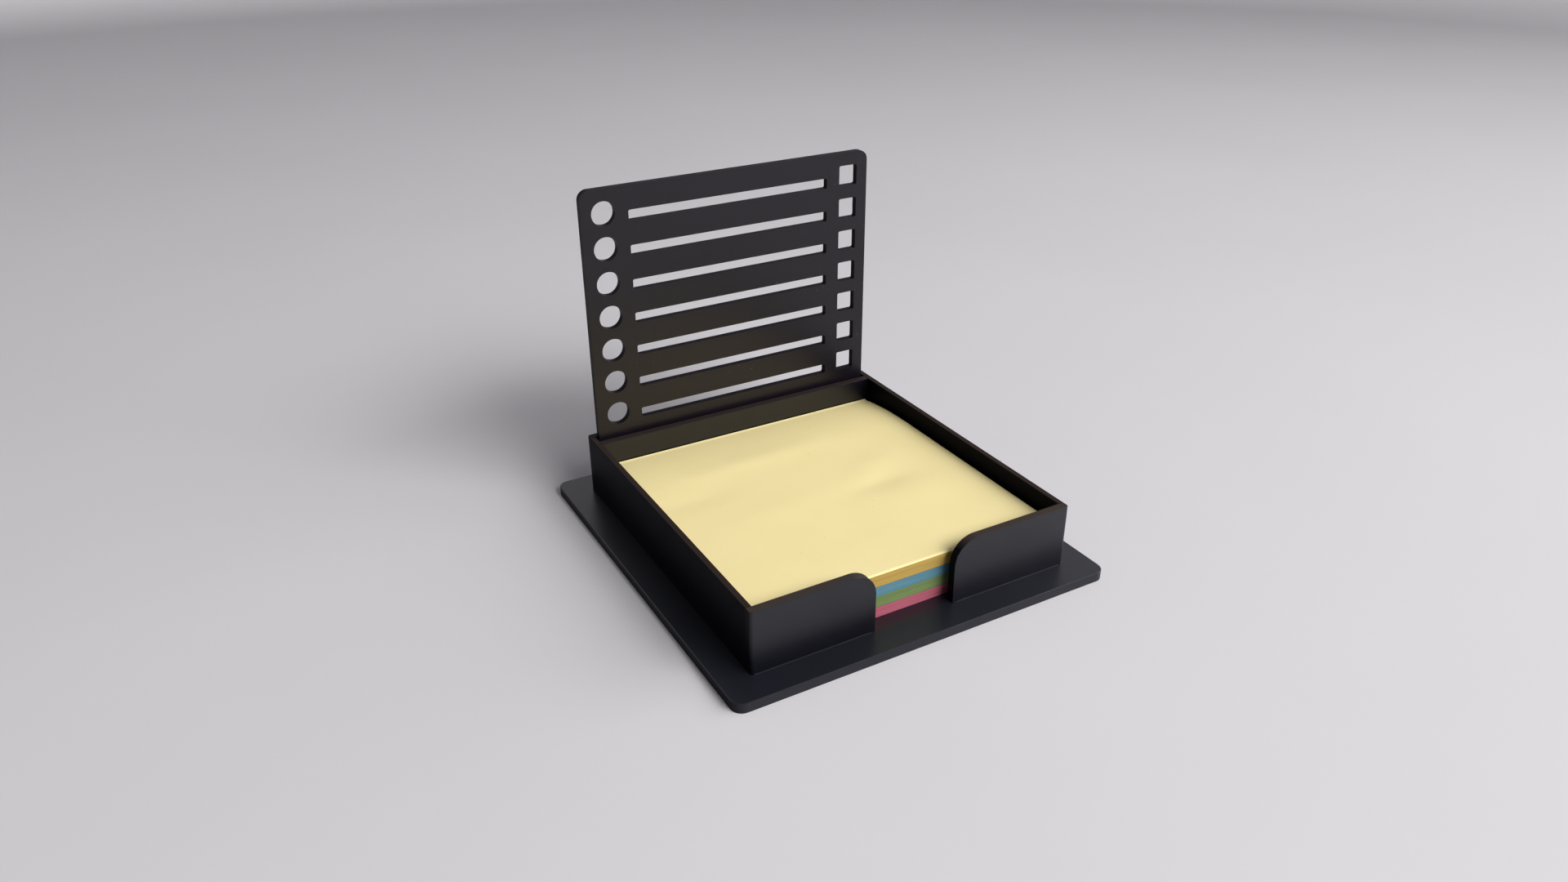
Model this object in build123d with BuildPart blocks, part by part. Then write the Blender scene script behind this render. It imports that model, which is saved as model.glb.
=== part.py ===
"""Sticky note holder for a desk.

A low tray of sheet panels bonded to a larger base plate. A divider near the rear wall leaves a
narrow slot, in which a writing stencil stands. A stack of coloured note pads lies in the well, and
a finger notch in the front wall reaches down to the base plate.

Millimetres. The origin is the middle of the base plate's underside, +X right, -Y front, +Z up.
"""

import os

from build123d import *

# Notes
note_size = 76.0  # side of a square note
note_clearance = 1.0  # half of the room that the notes have in the well
note_rear_gap = 0.3  # the stack is pushed back, close to the divider
pad_thick = 2.7  # one colour of notes, where its sheets lie loose
pad_rear_thick = 2.28  # at its rear edge, where the gum holds the sheets closer
gum_width = 21.0  # gummed strip along the rear edge of each sheet
note_thick = 0.2  # the loose top note
pad_colours = ["pink", "green", "blue", "yellow"]  # from the base plate upwards

# Wall panels
side_panel_thick = 1.5
front_panel_thick = 2.0
rear_panel_thick = 2.0
divider_thick = 2.0
wall_height = 15.35  # above the base plate
wall_edge_round = 0.15  # along the rims of the panels
wall_corner_round = 0.8  # upright outer corners of the tray

# Finger notch in the front wall
notch_width = 20.1
notch_shift = 0.8  # how far it lies to the left of the tray's middle
notch_round = 5.9  # upper corners of the two front panels

# Base plate
base_margin = 6.95  # how far the plate stands out past the tray on every side
base_thick = 2.35
base_corner_round = 2.6
base_top_round = 0.2  # along the plate's upper edge
base_foot_round = 0.1  # along the plate's lower edge

# Stencil
stencil_thick = 1.65
stencil_face_gap = 0.5  # to the divider and to the rear panel
stencil_end_gap = 0.45  # to each side panel, when it stands in the middle
stencil_shift = 0.25  # how far it is pushed to the left in its slot
stencil_corner_round = 2.45
row_count = 7
row_pitch = 8.45
head_row = 5.85  # from the stencil's upper edge down to the first row
foot_row = 6.15  # from the rim of the tray up to the last row
column_inset = 5.55  # from the stencil's side edges to the bullets and boxes
bullet_diameter = 5.85
box_side = 5.1
line_width = 2.55
line_end_gap = 3.25  # between a bullet and the end of its line
cut_corner_round = 0.4  # corners of the boxes and lines

# The well, the slot and the tray around them, from front to rear
well_size = note_size + 2 * note_clearance
slot_width = stencil_thick + 2 * stencil_face_gap
tray_width = well_size + 2 * side_panel_thick
tray_depth = front_panel_thick + well_size + divider_thick + slot_width + rear_panel_thick
tray_front = -tray_depth / 2
well_front = tray_front + front_panel_thick
well_rear = well_front + well_size
slot_front = well_rear + divider_thick
slot_rear = slot_front + slot_width

# The base plate and the stencil
base_width = tray_width + 2 * base_margin
base_depth = tray_depth + 2 * base_margin
stencil_width = well_size - 2 * stencil_end_gap
stencil_height = wall_height + foot_row + (row_count - 1) * row_pitch + head_row
column_offset = stencil_width / 2 - column_inset
line_length = 2 * (column_offset - bullet_diameter / 2 - line_end_gap)

# The stack of notes, from the base plate upwards: name, thickness of the loose part and at the rear
note_left = -note_size / 2
note_rear = well_rear - note_rear_gap
note_front = note_rear - note_size
gum_front = note_rear - gum_width
note_layers = [(f"{colour}_pad", pad_thick, pad_rear_thick) for colour in pad_colours]
note_layers.append(("top_note", note_thick, note_thick))

os.makedirs("parts", exist_ok=True)


def finish(name, part):
    """Label a finished piece and write it under its own name."""
    part.label = name
    export_step(part, f"parts/{name}.step")


# Base plate: a rounded rectangle with a softened upper edge
with BuildPart() as base_plate:
    with BuildSketch():
        RectangleRounded(base_width, base_depth, base_corner_round)
    extrude(amount=base_thick)
    fillet(base_plate.faces().sort_by(Axis.Z)[-1].edges(), base_top_round)
    fillet(base_plate.faces().sort_by(Axis.Z)[0].edges(), base_foot_round)
finish("base_plate", base_plate.part)


def front_panel(notch_edge):
    """Front panel from the tray's left corner to the edge of the finger notch.

    The edge lies at a distance from the tray's middle, and the upper corner there sweeps down.
    """
    with BuildPart() as panel:
        with BuildSketch(Plane.XZ.offset(-tray_front)):
            with BuildLine():
                foot = Line((-tray_width / 2, base_thick), (-notch_edge, base_thick))
                inner_side = Line(foot @ 1, (-notch_edge, base_thick + wall_height - notch_round))
                sweep_round = JernArc(inner_side @ 1, inner_side % 1, notch_round, 90)
                rim = Line(sweep_round @ 1, (-tray_width / 2, base_thick + wall_height))
                Line(rim @ 1, foot @ 0)
            make_face()
        extrude(amount=-front_panel_thick)
        outer_corner = panel.edges().filter_by(Axis.Z).group_by(Axis.X)[0].sort_by(Axis.Y)[0]
        fillet(outer_corner, wall_corner_round)
        top_face = panel.faces().sort_by(Axis.Z)[-1]
        rim_edges = top_face.edges().sort_by(Axis.X)[:-1]
        for face in panel.faces().filter_by(Axis.Y):
            rim_edges += face.edges().sort_by(Axis.X)[-2:]
        fillet(rim_edges, wall_edge_round)
    return panel.part


# Front panels, on the two sides of the finger notch
front_left_panel = front_panel(notch_width / 2 + notch_shift)
finish("front_left_panel", front_left_panel)

right_panel_unmirrored = front_panel(notch_width / 2 - notch_shift)
with BuildPart() as front_right_panel:
    mirror(right_panel_unmirrored, about=Plane.YZ)
finish("front_right_panel", front_right_panel.part)

# Side panels: butted between the front panels and the rear panel
with BuildPart() as left_panel:
    with BuildSketch(Plane.XY.offset(base_thick)):
        with Locations((-tray_width / 2, well_front)):
            Rectangle(side_panel_thick, slot_rear - well_front, align=(Align.MIN, Align.MIN))
    extrude(amount=wall_height)
    fillet(left_panel.faces().sort_by(Axis.Z)[-1].edges().filter_by(Axis.Y), wall_edge_round)
finish("left_panel", left_panel.part)

with BuildPart() as right_panel:
    mirror(left_panel.part, about=Plane.YZ)
finish("right_panel", right_panel.part)

# Rear panel: the full width of the tray, over the ends of the side panels
with BuildPart() as rear_panel:
    with BuildSketch(Plane.XY.offset(base_thick)):
        with Locations((0, slot_rear)):
            Rectangle(tray_width, rear_panel_thick, align=(Align.CENTER, Align.MIN))
    extrude(amount=wall_height)
    fillet(rear_panel.edges().filter_by(Axis.Z).group_by(Axis.Y)[-1], wall_corner_round)
    fillet(rear_panel.faces().sort_by(Axis.Z)[-1].edges(), wall_edge_round)
finish("rear_panel", rear_panel.part)

# Divider: closes the well and forms the front of the stencil's slot
with BuildPart() as slot_divider:
    with BuildSketch(Plane.XY.offset(base_thick)):
        with Locations((0, well_rear)):
            Rectangle(well_size, divider_thick, align=(Align.CENTER, Align.MIN))
    extrude(amount=wall_height)
    fillet(slot_divider.faces().sort_by(Axis.Z)[-1].edges().filter_by(Axis.X), wall_edge_round)
finish("slot_divider", slot_divider.part)

# Stencil: rows of a round bullet, a line and a square box, which all stand on the same level
stencil_plane = Plane(
    origin=(-stencil_shift, slot_front + stencil_face_gap, base_thick), z_dir=(0, -1, 0), x_dir=(1, 0, 0)
)
rows_middle = wall_height + foot_row + (row_count - 1) * row_pitch / 2
line_drop = (box_side - line_width) / 2
with BuildPart() as stencil:
    with BuildSketch(stencil_plane):
        with Locations((0, stencil_height / 2)):
            RectangleRounded(stencil_width, stencil_height, stencil_corner_round)
        with Locations((-column_offset, rows_middle)):
            with GridLocations(0, row_pitch, 1, row_count):
                Circle(bullet_diameter / 2, mode=Mode.SUBTRACT)
        with Locations((0, rows_middle - line_drop)):
            with GridLocations(0, row_pitch, 1, row_count):
                RectangleRounded(line_length, line_width, cut_corner_round, mode=Mode.SUBTRACT)
        with Locations((column_offset, rows_middle)):
            with GridLocations(0, row_pitch, 1, row_count):
                RectangleRounded(box_side, box_side, cut_corner_round, mode=Mode.SUBTRACT)
    extrude(amount=-stencil_thick)
finish("stencil", stencil.part)

# Note pads, one of each colour, and the loose top note: level, then falling along the gummed strip
level = base_thick
rear_level = base_thick
for layer_name, thick, rear_thick in note_layers:
    with BuildPart() as note_layer:
        with BuildSketch(Plane.YZ.offset(note_left)):
            with BuildLine():
                lower_side = Polyline((note_front, level), (gum_front, level), (note_rear, rear_level))
                level += thick
                rear_level += rear_thick
                upper_side = Polyline((note_rear, rear_level), (gum_front, level), (note_front, level))
                Line(lower_side @ 1, upper_side @ 0)
                Line(upper_side @ 1, lower_side @ 0)
            make_face()
        extrude(amount=note_size)
    finish(layer_name, note_layer.part)
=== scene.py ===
"""Looks of the sticky note holder: satin black tray and stencil, stacked paper notes, pale desk.

Metres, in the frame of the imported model: the origin is the middle of the base plate's underside,
+X right, -Y front, +Z up.
"""

import bpy
import numpy as np
from mathutils import Matrix, Vector


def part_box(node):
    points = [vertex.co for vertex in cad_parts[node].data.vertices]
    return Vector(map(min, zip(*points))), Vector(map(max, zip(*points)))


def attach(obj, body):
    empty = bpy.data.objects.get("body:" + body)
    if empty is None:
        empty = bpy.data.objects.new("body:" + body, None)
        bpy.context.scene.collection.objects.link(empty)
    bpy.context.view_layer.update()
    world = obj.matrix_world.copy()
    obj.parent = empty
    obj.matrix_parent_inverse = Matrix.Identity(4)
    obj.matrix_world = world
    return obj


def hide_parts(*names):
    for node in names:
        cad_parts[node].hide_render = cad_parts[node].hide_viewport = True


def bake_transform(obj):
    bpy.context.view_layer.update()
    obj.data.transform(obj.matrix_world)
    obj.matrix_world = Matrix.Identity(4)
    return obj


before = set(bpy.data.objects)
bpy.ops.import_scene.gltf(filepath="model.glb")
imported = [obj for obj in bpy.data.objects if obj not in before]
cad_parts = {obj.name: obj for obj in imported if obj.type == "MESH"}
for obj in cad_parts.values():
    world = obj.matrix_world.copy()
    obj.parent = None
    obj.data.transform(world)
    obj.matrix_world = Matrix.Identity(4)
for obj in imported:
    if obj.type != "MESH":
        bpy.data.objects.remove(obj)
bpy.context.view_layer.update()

MM = 0.001
CM = 0.01

# Notes: how the sheets of paper lie
gum_width = 21 * MM  # gummed strip along the rear edge
gum_fall_power = 2.2  # the strip falls slowly at first, then faster
sheets_per_pad = 26
sheet_stray = 0.035 * MM  # how far a sheet lies from the sheet below it
sheet_stray_most = 0.14 * MM
edge_wave = 0.05 * MM  # unevenness of a cut edge
edge_wave_counts = (7, 13, 22, 37)  # waves round the outline of a pad
outline_samples = 40  # along each side of a note
cap_rings = 30
note_gap = 0.03 * MM  # air under the loose note
note_paper = 0.11 * MM
note_grid = 115
note_row_power = 1.5  # rows of the grid lie closer towards the rear edge
rear_curl = 0.22 * MM  # how far the loose note's gummed edge turns up
rear_curl_length = 0.5 * MM
pad_strays = {  # shift of each pad sideways and in depth, from its place in the stack, in millimetres
    "pink": (0.00, 0.05),
    "green": (0.22, 0.08),
    "blue": (-0.18, 0.02),
    "yellow": (0.08, -0.06),
}

# Swells of the stack, in millimetres: height, middle x and y, half length, half width, turn in degrees
paper_swells = [
    (0.12, -7.8, 20.0, 35.0, 6.0, 0.5),
    (0.20, -7.0, 18.2, 18.0, 3.6, 2.0),
    (-0.20, -29.0, 7.4, 11.0, 3.8, 0.0),
    (-0.25, 14.0, -6.6, 8.0, 3.2, 4.0),
    (0.18, 18.5, 2.4, 7.5, 4.2, 18.0),
    (0.24, 20.5, -14.0, 10.5, 5.4, -6.0),
    (0.10, -14.6, -5.5, 14.0, 4.2, 6.0),
    (-0.08, -5.8, -21.4, 17.0, 6.8, 12.0),
    (0.08, -23.4, -29.2, 11.7, 7.8, -20.0),
]

# Bead of cement along the outer foot of the front panels
bead_radius = 0.16 * MM
bead_sink = 0.05 * MM  # how deep it reaches into the panels and the plate
bead_end_gap = 0.9 * MM  # from the ends of a panel
bead_unevenness_share = 0.2
bead_waves = [(0.9, 0.3), (2.3, 1.1), (5.1, 2.0), (11.0, 0.4)]  # wavelength in centimetres, phase
bead_run_samples = 90
bead_section_samples = 6

rng = np.random.default_rng(11)


def surface_object(name, points, faces, materials):
    """Put whole arrays of points and faces into a mesh, and the mesh into an object at the origin."""
    mesh = bpy.data.meshes.new(name)
    mesh.from_pydata(points.tolist(), [], [face for group in faces for face in group.tolist()])
    for material in materials:
        mesh.materials.append(material)
    piece = bpy.data.objects.new(name, mesh)
    bpy.context.scene.collection.objects.link(piece)
    return piece


def lofted_rings(rings):
    """Points and faces of a closed skin over rings of points, from its lower end to its upper end.

    Ring i and step j meet ring i + 1 and step j + 1 in a quad. Each end closes in a fan of triangles
    onto the mean point of its ring.
    """
    count, around, _ = rings.shape
    ring, step = np.meshgrid(np.arange(count - 1), np.arange(around), indexing="ij")
    following = (step + 1) % around
    low, high = ring * around, (ring + 1) * around
    quads = np.stack([low + step, low + following, high + following, high + step], -1)
    poles = np.stack([rings[0].mean(0), rings[-1].mean(0)])
    points = np.concatenate([rings.reshape(-1, 3), poles])
    lower_pole, upper_pole = count * around, count * around + 1
    turn = np.arange(around)
    turn_next = (turn + 1) % around
    last = (count - 1) * around
    lower_fan = np.stack([np.full(around, lower_pole), turn_next, turn], -1)
    upper_fan = np.stack([np.full(around, upper_pole), last + turn, last + turn_next], -1)
    return points, [quads.reshape(-1, 4), lower_fan, upper_fan]


# Where the stack of notes lies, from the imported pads
pink_low, pink_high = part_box("pink_pad")
loose_low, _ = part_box("top_note")
pad_colours = ["pink", "green", "blue", "yellow"]
note_left, note_front = pink_low.x, pink_low.y
note_size = pink_high.x - pink_low.x
note_rear = note_front + note_size
plate_top = pink_low.z
pad_thick = pink_high.z - pink_low.z
pad_rear_thick = (loose_low.z - plate_top) / len(pad_colours)


def paper_wave(x, y):
    """Sum of bell-shaped swells: height times exp(-(along / length)^2 - (across / width)^2)."""
    total = np.zeros_like(x)
    for height, middle_x, middle_y, length, width, turn in paper_swells:
        angle = np.radians(turn)
        off_x, off_y = x / MM - middle_x, y / MM - middle_y
        along = off_x * np.cos(angle) + off_y * np.sin(angle)
        across = off_y * np.cos(angle) - off_x * np.sin(angle)
        total += height * MM * np.exp(-((along / length) ** 2) - (across / width) ** 2)
    return total


def stack_height(x, y, level):
    """Height of the stack at a level counted in pads.

    Level pads of the loose thickness, less the fall along the gummed strip, which grows as a power of
    the way to the rear edge, plus the paper's waves, which grow with the square of the level.
    """
    way = np.clip((y - (note_rear - gum_width)) / gum_width, 0, 1)
    thickness = pad_thick - (pad_thick - pad_rear_thick) * way**gum_fall_power
    return plate_top + level * thickness + paper_wave(x, y) * (level / len(pad_colours)) ** 2


def note_outline():
    """Unit square walked counterclockwise from its front left corner, with slightly uneven edges."""
    share = np.linspace(0, 1, outline_samples, endpoint=False)
    low, high = np.zeros(outline_samples), np.ones(outline_samples)
    across = np.concatenate([share, high, 1 - share, low])
    deep = np.concatenate([low, share, high, 1 - share])
    square = np.stack([across, deep], -1)
    walk = np.linspace(0, 2 * np.pi, len(square), endpoint=False)
    phases = rng.uniform(0, 2 * np.pi, len(edge_wave_counts))
    waves = [np.sin(walk * count + phase) for count, phase in zip(edge_wave_counts, phases)]
    wave = sum(waves) / len(waves)
    return 0.5 + (square - 0.5) * (1 + wave * edge_wave / note_size)[:, None]


def note_pad(name, level, stray, paper, paper_edge):
    """Stack of cut sheets as one closed skin.

    The lower cap grows from the middle to the outline, the side climbs sheet by sheet, each sheet
    shifted by a random walk, and the upper cap shrinks back to the middle. Heights follow the stack.
    """
    outline = note_outline()
    walk = np.cumsum(rng.normal(0, sheet_stray, (sheets_per_pad, 2)), axis=0)
    walk -= walk.mean(0)
    jitter = rng.normal(0, sheet_stray / 2, walk.shape)
    shifts = np.clip(walk + jitter, -sheet_stray_most, sheet_stray_most)
    shifts = np.repeat(shifts + np.array(stray) * MM, 2, axis=0)
    sheet = np.arange(sheets_per_pad)
    side_levels = level + np.stack([sheet, sheet + 1], -1) / sheets_per_pad
    growth = np.arange(1, cap_rings) / cap_rings
    shares = np.concatenate([growth, np.ones(len(shifts)), growth[::-1]])
    cap = np.ones(len(growth))
    levels = np.concatenate([cap * level, side_levels.ravel(), cap * (level + 1)])
    all_shifts = np.concatenate(
        [np.repeat(shifts[:1], len(growth), 0), shifts, np.repeat(shifts[-1:], len(growth), 0)]
    )
    flat = 0.5 + (outline[None] - 0.5) * shares[:, None, None]
    corner = np.array([note_left, note_front])
    places = corner + flat * note_size + all_shifts[:, None]
    heights = stack_height(places[..., 0], places[..., 1], levels[:, None])
    rings = np.concatenate([places, heights[..., None]], -1)
    points, faces = lofted_rings(rings)
    around = len(outline)
    middle = np.array([corner + note_size / 2 + shifts[0], corner + note_size / 2 + shifts[-1]])
    points[-2:, :2] = middle
    points[-2:, 2] = stack_height(middle[:, 0], middle[:, 1], np.array([level, level + 1.0]))
    piece = surface_object(name, points, faces, [paper, paper_edge])
    ring_of_quad = np.repeat(np.arange(len(rings) - 1), around)
    is_side = (ring_of_quad >= len(growth) - 1) & (ring_of_quad < len(rings) - len(growth))
    is_side = np.concatenate([is_side, np.zeros(2 * around, bool)])
    piece.data.polygons.foreach_set("material_index", is_side.astype(np.int32))
    piece.data.polygons.foreach_set("use_smooth", ~is_side)
    return piece


def loose_note(name, paper, paper_edge):
    """Top sheet: a square grid of points laid on the stack, thickened upwards by Solidify.

    Rows of points lie closer towards the rear edge, at 1 - (1 - share)^power of the depth. There the
    sheet turns up by the curl times exp(-(way / length)^2), where way is the distance from the edge.
    """
    share = np.linspace(0, 1, note_grid)
    across, deep = np.meshgrid(share, 1 - (1 - share) ** note_row_power, indexing="xy")
    x = note_left + across * note_size
    y = note_front + deep * note_size
    curl = rear_curl * np.exp(-(((note_rear - y) / rear_curl_length) ** 2))
    z = stack_height(x, y, float(len(pad_colours))) + note_gap + curl
    points = np.stack([x, y, z], -1).reshape(-1, 3)
    row, column = np.meshgrid(np.arange(note_grid - 1), np.arange(note_grid - 1), indexing="ij")
    first = row * note_grid + column
    quads = np.stack([first, first + 1, first + note_grid + 1, first + note_grid], -1).reshape(-1, 4)
    piece = surface_object(name, points, [quads], [paper, paper_edge])
    piece.data.polygons.foreach_set("use_smooth", np.ones(len(quads), bool))
    thicken = piece.modifiers.new("paper", "SOLIDIFY")
    thicken.thickness = note_paper
    thicken.offset = 1
    thicken.material_offset_rim = 1
    return piece


def foot_bead(name, panel_name, cement):
    """Bead of cement: a concave fillet section carried along the outer foot of a front panel.

    A section point stands out by radius * (1 - sin a) and up by radius * (1 - cos a), and the radius
    varies along the way as a sum of sine waves.
    """
    panel_low, panel_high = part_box(panel_name)
    along = np.linspace(panel_low.x + bead_end_gap, panel_high.x - bead_end_gap, bead_run_samples)
    waves = [np.sin(along / (CM * length) * 2 * np.pi + phase) for length, phase in bead_waves]
    uneven = sum(waves) / len(waves)
    radius = bead_radius * (1 + bead_unevenness_share * uneven)[:, None]
    turn = np.linspace(0, np.pi / 2, bead_section_samples)
    sunk = np.full((bead_run_samples, 1), -bead_sink)
    out = np.concatenate([sunk, radius, radius * (1 - np.sin(turn)), sunk], 1)
    up = np.concatenate([sunk, sunk, radius * (1 - np.cos(turn)), radius], 1)
    across = np.repeat(along[:, None], out.shape[1], 1)
    rings = np.stack([across, panel_low.y - out, plate_top + up], -1)
    piece = surface_object(name, *lofted_rings(rings), [cement])
    piece.data.polygons.foreach_set("use_smooth", np.ones(len(piece.data.polygons), bool))
    return piece


def shader_node(tree, kind, inputs=None, **settings):
    """Add a node to a material and set its options and the values of its sockets."""
    made = tree.nodes.new(kind)
    for key, value in settings.items():
        setattr(made, key, value)
    for key, value in (inputs or {}).items():
        made.inputs[key].default_value = value
    return made


def new_finish(name):
    """An empty material with its tree, its main shader and a node of object coordinates."""
    material = bpy.data.materials.new(name)
    material.use_nodes = True
    tree = material.node_tree
    shader = tree.nodes["Principled BSDF"]
    place = shader_node(tree, "ShaderNodeTexCoord").outputs["Object"]
    return material, tree, shader, place


def noise(tree, place, scale, detail=2.0, roughness=0.5, stretch=None):
    """Noise of about 1 / scale metres, stretched along the axes where asked. Returns its value."""
    made = shader_node(
        tree, "ShaderNodeTexNoise", {"Scale": scale, "Detail": detail, "Roughness": roughness}
    )
    if stretch:
        mapping = shader_node(tree, "ShaderNodeMapping", {"Scale": stretch})
        tree.links.new(place, mapping.inputs["Vector"])
        place = mapping.outputs["Vector"]
    tree.links.new(place, made.inputs["Vector"])
    return made.outputs["Fac"]


def remap(tree, value, low, high, to_low, to_high):
    """Carry a value from one range to another, held at its ends."""
    made = shader_node(
        tree,
        "ShaderNodeMapRange",
        {"From Min": low, "From Max": high, "To Min": to_low, "To Max": to_high},
    )
    tree.links.new(value, made.inputs["Value"])
    return made.outputs["Result"]


def product(tree, first, second):
    """Two values multiplied."""
    made = shader_node(tree, "ShaderNodeMath", operation="MULTIPLY")
    tree.links.new(first, made.inputs[0])
    tree.links.new(second, made.inputs[1])
    return made.outputs["Value"]


# Colour sockets of a Mix node, which have the same names as its other sockets
mix_first, mix_second, mix_result = 6, 7, 2


def mixed(tree, share, first, second):
    """Colour mixed by a share from the first, a colour or a socket, to the second colour."""
    made = shader_node(tree, "ShaderNodeMix", data_type="RGBA")
    tree.links.new(share, made.inputs["Factor"])
    if isinstance(first, tuple):
        made.inputs[mix_first].default_value = (*first, 1)
    else:
        tree.links.new(first, made.inputs[mix_first])
    made.inputs[mix_second].default_value = (*second, 1)
    return made.outputs[mix_result]


def bumped(tree, shader, value, strength, depth):
    """Bump the shader's normal by a value."""
    made = shader_node(tree, "ShaderNodeBump", {"Strength": strength, "Distance": depth})
    tree.links.new(value, made.inputs["Height"])
    tree.links.new(made.outputs["Normal"], shader.inputs["Normal"])


# Skin of the black plastic: scale of each pattern in one per metre, noise values where it sets in
tint_cloud_scale, tint_cloud_range = 38, (0.35, 0.65)
gloss_cloud_scale, gloss_cloud_range = 55, (0.3, 0.7)
dust_scale, dust_range = 1700, (0.76, 0.79)
dusty_place_scale, dusty_place_range = 60, (0.5, 0.7)
dust_share = 0.6  # how far a speck covers the skin where there is most dust
dust_colour = (0.10, 0.10, 0.10)
# Range of the normal's upward part over which the painted rim highlight sets in
painted_highlight_facing_range = (0.6, 0.95)  # upward part of the normal, from skin to rim
grain_scale, grain_strength, grain_depth = 3600, 0.05, 0.02 * MM


def satin_black(name, gloss, roughness, tints, rim_painted_highlight=None, side_gloss=None):
    """Black plastic with a satin skin: fine grain, softly clouded gloss and a few specks of dust.

    The roughness is given for the glossiest and the dullest places, and the tint for the darkest and the
    palest. A rim highlight paints edges that face upwards paler and warmer than the skin: a painted
    highlight. A side gloss gives a sheet's skins and sawn edges their own gloss: three values for faces
    across X, Y and Z, each weighed by the square of the normal's part along that axis.
    """
    material, tree, shader, place = new_finish(name)
    normal = shader_node(tree, "ShaderNodeTexCoord").outputs["Normal"]
    clouds = noise(tree, place, tint_cloud_scale)
    colour = mixed(tree, remap(tree, clouds, *tint_cloud_range, 0, 1), *tints)
    specks = noise(tree, place, dust_scale, detail=1.0, roughness=0.4)
    dust = remap(tree, specks, *dust_range, 0, 1)
    dusty_places = remap(tree, noise(tree, place, dusty_place_scale), *dusty_place_range, 0, dust_share)
    colour = mixed(tree, product(tree, dust, dusty_places), colour, dust_colour)
    # Painted highlight: faces that look upwards are mixed towards a paler, warm rim colour
    if rim_painted_highlight:
        facing = shader_node(tree, "ShaderNodeSeparateXYZ")
        tree.links.new(normal, facing.inputs["Vector"])
        painted_highlight_share = remap(tree, facing.outputs["Z"], *painted_highlight_facing_range, 0, 1)
        colour = mixed(tree, painted_highlight_share, colour, rim_painted_highlight)
    tree.links.new(colour, shader.inputs["Base Color"])
    skin = remap(tree, noise(tree, place, gloss_cloud_scale), *gloss_cloud_range, *roughness)
    tree.links.new(skin, shader.inputs["Roughness"])
    shader.inputs["Specular IOR Level"].default_value = gloss
    if side_gloss:
        squares = shader_node(tree, "ShaderNodeVectorMath", operation="MULTIPLY")
        tree.links.new(normal, squares.inputs[0])
        tree.links.new(normal, squares.inputs[1])
        weighed = shader_node(tree, "ShaderNodeVectorMath", {1: side_gloss}, operation="DOT_PRODUCT")
        tree.links.new(squares.outputs["Vector"], weighed.inputs[0])
        tree.links.new(weighed.outputs["Value"], shader.inputs["Specular IOR Level"])
    bumped(tree, shader, noise(tree, place, grain_scale), grain_strength, grain_depth)
    return material


# Paper: scale of each pattern in one per metre, noise values where it sets in, and its full share
dye_cloud_scale, dye_cloud_range, dye_cloud_share = 95, (0.3, 0.7), 0.35
fibre_scale, fibre_range, fibre_share = 2100, (0.42, 0.75), 0.28
fibre_stretch = (1.0, 2.4, 1.0)
fleck_scale, fleck_range, fleck_share = 820, (0.775, 0.80), 0.35
fleck_shade = 0.55  # how dark a fleck is beside the deeper dye
sheet_roughness, sheet_gloss = 0.86, 0.18
sheet_bump, sheet_bump_depth = 0.12, 0.02 * MM
# Painted shade of the gaps between sheets on the cut edges: streaks and bands mixed towards the deeper edge
# colour
streak_scales, streak_range, gap_shade_streak_share = (70, 70, 7000), (0.36, 0.66), 0.75
band_scales, band_range, gap_shade_band_share = (25, 25, 1500), (0.45, 0.7), 0.5
edge_roughness, edge_gloss = 0.9, 0.12
edge_bump, edge_bump_depth = 0.25, 0.03 * MM


def note_paper_finish(name, colour, deep):
    """Uncoated dyed paper: cloudy dye, fine fibres, a few darker flecks and a dull skin."""
    material, tree, shader, place = new_finish(name)
    shader.inputs["Roughness"].default_value = sheet_roughness
    shader.inputs["Specular IOR Level"].default_value = sheet_gloss
    clouds = noise(tree, place, dye_cloud_scale, detail=4.0, roughness=0.6)
    dyed = mixed(tree, remap(tree, clouds, *dye_cloud_range, 0, dye_cloud_share), colour, deep)
    fibres = noise(tree, place, fibre_scale, detail=4.0, roughness=0.65, stretch=fibre_stretch)
    fibred = mixed(tree, remap(tree, fibres, *fibre_range, 0, fibre_share), dyed, deep)
    flecks = noise(tree, place, fleck_scale, detail=1.0, roughness=0.4)
    fleck_colour = tuple(fleck_shade * part for part in deep)
    flecked = mixed(tree, remap(tree, flecks, *fleck_range, 0, fleck_share), fibred, fleck_colour)
    tree.links.new(flecked, shader.inputs["Base Color"])
    bumped(tree, shader, fibres, sheet_bump, sheet_bump_depth)
    return material


def paper_edge_finish(name, colour, deep):
    """Cut edges of stacked paper: thin level streaks and broad bands painted deeper in colour, as shade in
    the gaps where sheets lie apart.
    """
    material, tree, shader, place = new_finish(name)
    shader.inputs["Roughness"].default_value = edge_roughness
    shader.inputs["Specular IOR Level"].default_value = edge_gloss
    streaks = noise(tree, place, 1, detail=3.0, roughness=0.6, stretch=streak_scales)
    # Painted shade: streaks and bands darken the edge as if in the gaps between sheets
    streak_shaded = mixed(tree, remap(tree, streaks, *streak_range, 0, gap_shade_streak_share), colour, deep)
    bands = noise(tree, place, 1, stretch=band_scales)
    band_shaded = mixed(tree, remap(tree, bands, *band_range, 0, gap_shade_band_share), streak_shaded, deep)
    tree.links.new(band_shaded, shader.inputs["Base Color"])
    bumped(tree, shader, streaks, edge_bump, edge_bump_depth)
    return material


# Finishes of the black pieces: darkest and palest tint, gloss, and roughness from glossiest to dullest
wall_tints = ((0.0014, 0.0014, 0.0046), (0.0022, 0.0022, 0.0058))
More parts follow.
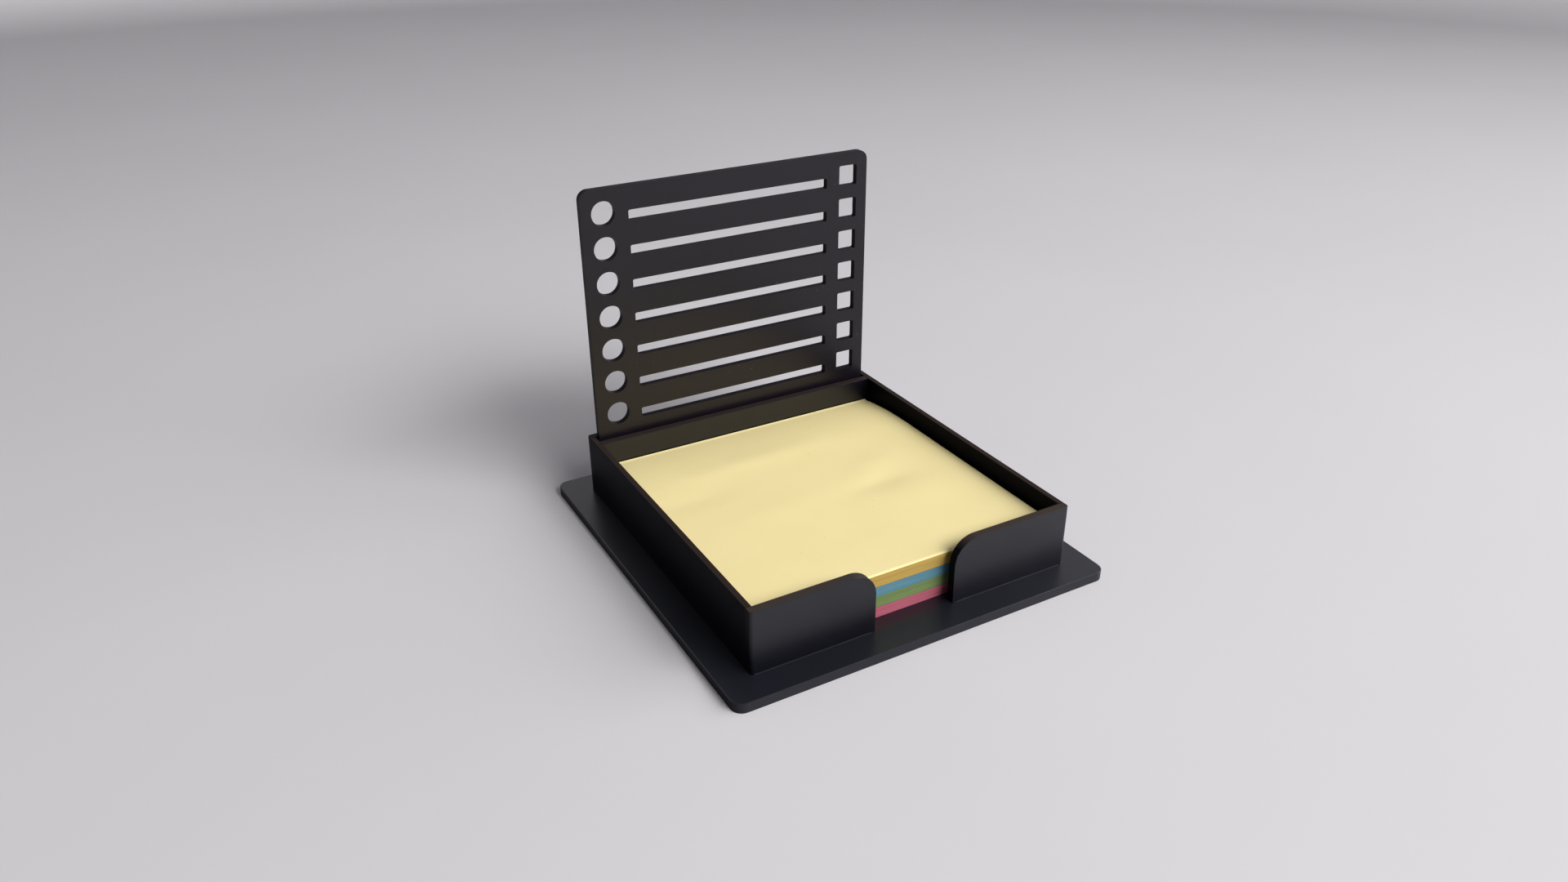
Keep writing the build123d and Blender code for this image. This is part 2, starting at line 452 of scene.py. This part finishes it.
# The plate's tint is paler than the walls' partly as painted sheen, standing in for the front lamp's
# reflection, which the plate doesn't mirror
plate_tints_with_painted_sheen = ((0.0078, 0.0084, 0.0135), (0.0092, 0.0099, 0.0152))
stencil_tints = ((0.0040, 0.0028, 0.0058), (0.0050, 0.0036, 0.0070))
cement_tints = ((0.007, 0.007, 0.011), (0.010, 0.010, 0.014))
# Painted highlight colours for upward-facing rims: warm and paler than the skin, brightest on the front
# panels
rim_painted_highlight = (0.0275, 0.0200, 0.0180)
front_rim_painted_highlight = (0.0445, 0.0340, 0.0290)
sawn_gloss = 0.03
plate_gloss, plate_front_gloss, wall_gloss = 0.95, 0.36, 0.64
side_wall_gloss, stencil_gloss, cement_gloss = 0.025, 0.45, 0.35
plate_roughness, wall_roughness, side_wall_roughness = (0.33, 0.37), (0.36, 0.40), (0.42, 0.46)
stencil_roughness, cement_roughness = (0.32, 0.36), (0.44, 0.50)
plate_sides = (sawn_gloss, plate_front_gloss, plate_gloss)
wall_sides = (sawn_gloss, wall_gloss, sawn_gloss)
stencil_sides = (sawn_gloss, stencil_gloss, sawn_gloss)
plate_black = satin_black("plate_black", plate_gloss, plate_roughness, plate_tints_with_painted_sheen, None, plate_sides)
panel_black = satin_black("panel_black", wall_gloss, wall_roughness, wall_tints, rim_painted_highlight, wall_sides)
# The front panels are the same plastic as the other panels, with a brighter painted rim highlight
front_black = satin_black("front_black", wall_gloss, wall_roughness, wall_tints, front_rim_painted_highlight, wall_sides)
side_black = satin_black("side_black", side_wall_gloss, side_wall_roughness, wall_tints, rim_painted_highlight)
stencil_black = satin_black(
    "stencil_black", stencil_gloss, stencil_roughness, stencil_tints, None, stencil_sides
)
cement_black = satin_black("cement_black", cement_gloss, cement_roughness, cement_tints)
node_finishes = {
    "base_plate": plate_black,
    "front_left_panel": front_black,
    "front_right_panel": front_black,
    "left_panel": side_black,
    "right_panel": side_black,
    "stencil": stencil_black,
}
for node_name, node_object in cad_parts.items():
    node_object.data.materials.clear()
    node_object.data.materials.append(node_finishes.get(node_name, panel_black))

# Dyes of the notes: colour and deeper shade of the sheets, then the colour of their cut edges and the
# deeper colour painted on them as shade in the gaps between sheets
note_dyes = {
    "pink": [(0.78, 0.24, 0.30), (0.66, 0.16, 0.22), (0.45, 0.133, 0.18), (0.35, 0.077, 0.115)],
    "green": [(0.45, 0.58, 0.25), (0.36, 0.49, 0.18), (0.180, 0.246, 0.100), (0.126, 0.179, 0.063)],
    "blue": [(0.30, 0.58, 0.68), (0.20, 0.47, 0.58), (0.118, 0.250, 0.310), (0.077, 0.186, 0.240)],
    "yellow": [(0.885, 0.755, 0.39), (0.845, 0.70, 0.33), (0.455, 0.320, 0.095), (0.364, 0.238, 0.055)],
}
note_finishes = {}
for pad_level, pad_colour in enumerate(pad_colours):
    dye, deep_dye, edge_dye, edge_gap_shade_dye = note_dyes[pad_colour]
    sheet_finish = note_paper_finish(f"{pad_colour}_sheet", dye, deep_dye)
    edge_finish = paper_edge_finish(f"{pad_colour}_cut_edge", edge_dye, edge_gap_shade_dye)
    note_finishes[pad_colour] = (sheet_finish, edge_finish)
    pad = note_pad(f"{pad_colour}_notes", pad_level, pad_strays[pad_colour], sheet_finish, edge_finish)
    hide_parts(f"{pad_colour}_pad")
    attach(pad, "note_stack")

peeled_note = loose_note("loose_note", *note_finishes["yellow"])
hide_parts("top_note")
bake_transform(peeled_note)

for side in ("left", "right"):
    bead = foot_bead(f"{side}_foot_bead", f"front_{side}_panel", cement_black)
    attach(bead, "tray")

# Studio: a pale desk that curves up all round, soft lamps in front and on the right, a dim room
desk_flat_radius = 1.5
desk_curve_radius = 0.7
desk_wall_height = 0.9
desk_first_ring_share = 0.05  # of the flat radius
desk_spokes, desk_flat_rings, desk_curve_rings = 96, 24, 16
desk_colour = (0.63, 0.61, 0.63)
desk_cloud_scale, desk_cloud_range, desk_cloud_gain = 7, (0.3, 0.7), 1.03
desk_roughness, desk_gloss = 0.55, 0.2
backdrop_start, backdrop_full = 1.0, 1.45  # distance over which the far desk turns into a pale backdrop
backdrop_strength = 0.6
soft_lamps = {  # place, width, height, power, and whether glossy faces mirror it
    "front_lamp": ((0.545, -1.224, 1.047), 1.26, 0.76, 9.05, False),
    "side_lamp": ((1.252, -0.557, 0.610), 1.1, 0.8, 2.45, True),
}
lamp_beam = np.radians(85)
room_light = (0.93, 0.95, 1.0)
room_strength = 0.22


def desk_finish():
    """Pale, faintly clouded desk top.

    Far from the holder, where the lamps no longer reach, it shows a pale backdrop of its own colour to
    the camera and in reflections. That backdrop gives no light to the holder.
    """
    material, tree, shader, place = new_finish("pale_desk")
    shader.inputs["Roughness"].default_value = desk_roughness
    shader.inputs["Specular IOR Level"].default_value = desk_gloss
    clouds = remap(tree, noise(tree, place, desk_cloud_scale, detail=3.0), *desk_cloud_range, 0, 1)
    paler = tuple(part * desk_cloud_gain for part in desk_colour)
    tree.links.new(mixed(tree, clouds, desk_colour, paler), shader.inputs["Base Color"])
    shader.inputs["Emission Color"].default_value = (*desk_colour, 1)
    distance = shader_node(tree, "ShaderNodeVectorMath", operation="LENGTH")
    tree.links.new(place, distance.inputs[0])
    far = remap(tree, distance.outputs["Value"], backdrop_start, backdrop_full, 0, backdrop_strength)
    ray = shader_node(tree, "ShaderNodeLightPath")
    seen = ray.outputs["Is Camera Ray"]
    for kind in ("Is Glossy Ray", "Is Transmission Ray"):
        either = shader_node(tree, "ShaderNodeMath", operation="MAXIMUM")
        tree.links.new(seen, either.inputs[0])
        tree.links.new(ray.outputs[kind], either.inputs[1])
        seen = either.outputs["Value"]
    tree.links.new(product(tree, seen, far), shader.inputs["Emission Strength"])
    return material


def desk():
    """Pale desk: a profile turned about Z, flat, then a quarter circle upwards, then upright."""
    bend = np.linspace(0, np.pi / 2, desk_curve_rings)[1:]
    flat = np.linspace(desk_first_ring_share, 1, desk_flat_rings) * desk_flat_radius
    curve = desk_flat_radius + desk_curve_radius * np.sin(bend)
    rise = desk_curve_radius * (1 - np.cos(bend))
    radius = np.concatenate([flat, curve, [desk_flat_radius + desk_curve_radius]])[:, None]
    height = np.concatenate([np.zeros(len(flat)), rise, [desk_curve_radius + desk_wall_height]])[:, None]
    angle = np.linspace(0, 2 * np.pi, desk_spokes, endpoint=False)
    level = np.repeat(height, desk_spokes, 1)
    rings = np.stack([radius * np.cos(angle), radius * np.sin(angle), level], -1)
    points, (sides, middle, _) = lofted_rings(rings)
    piece = surface_object("pale_desk", points[:-1], [sides[:, ::-1], middle[:, ::-1]], [desk_finish()])
    piece.data.polygons.foreach_set("use_smooth", np.ones(len(piece.data.polygons), bool))


def soft_lamp(name, place, width, height, power, mirrored):
    """Broad rectangular lamp that faces the holder."""
    lamp = bpy.data.lights.new(name, "AREA")
    lamp.shape = "RECTANGLE"
    lamp.size = width
    lamp.size_y = height
    lamp.energy = power
    lamp.spread = lamp_beam
    stand = bpy.data.objects.new(name, lamp)
    stand.location = place
    stand.rotation_euler = (-Vector(place)).to_track_quat("-Z", "Y").to_euler()
    stand.visible_camera = False
    stand.visible_glossy = mirrored
    bpy.context.scene.collection.objects.link(stand)


def dim_room():
    """Even light from all round."""
    world = bpy.data.worlds.new("dim_room")
    world.use_nodes = True
    background = world.node_tree.nodes["Background"]
    background.inputs["Color"].default_value = (*room_light, 1)
    background.inputs["Strength"].default_value = room_strength
    bpy.context.scene.world = world


# Camera: where the photograph was taken from
camera_place = Vector((-125.38, -208.29, 152.60)) * MM
camera_view = Vector((0.4340, 0.7719, -0.4645)).normalized()
camera_up = Vector((0.2326, 0.4021, 0.8855))
camera_lens, camera_sensor = 26.89, 36  # millimetres
camera_near, camera_far = 0.01, 20  # it sees what lies between them


def photo_camera():
    """Camera that looks along the view direction, with its upper side turned to the up direction."""
    camera = bpy.data.cameras.new("photo_camera")
    camera.sensor_width = camera_sensor
    camera.lens = camera_lens
    camera.clip_start = camera_near
    camera.clip_end = camera_far
    stand = bpy.data.objects.new("photo_camera", camera)
    right = camera_view.cross(camera_up).normalized()
    up = right.cross(camera_view)
    turn = Matrix((right, up, -camera_view)).transposed()
    stand.matrix_world = Matrix.Translation(camera_place) @ turn.to_4x4()
    bpy.context.scene.collection.objects.link(stand)
    bpy.context.scene.camera = stand


desk()
for lamp_name, lamp_values in soft_lamps.items():
    soft_lamp(lamp_name, *lamp_values)
dim_room()
photo_camera()
bpy.context.scene.view_settings.view_transform = "Standard"
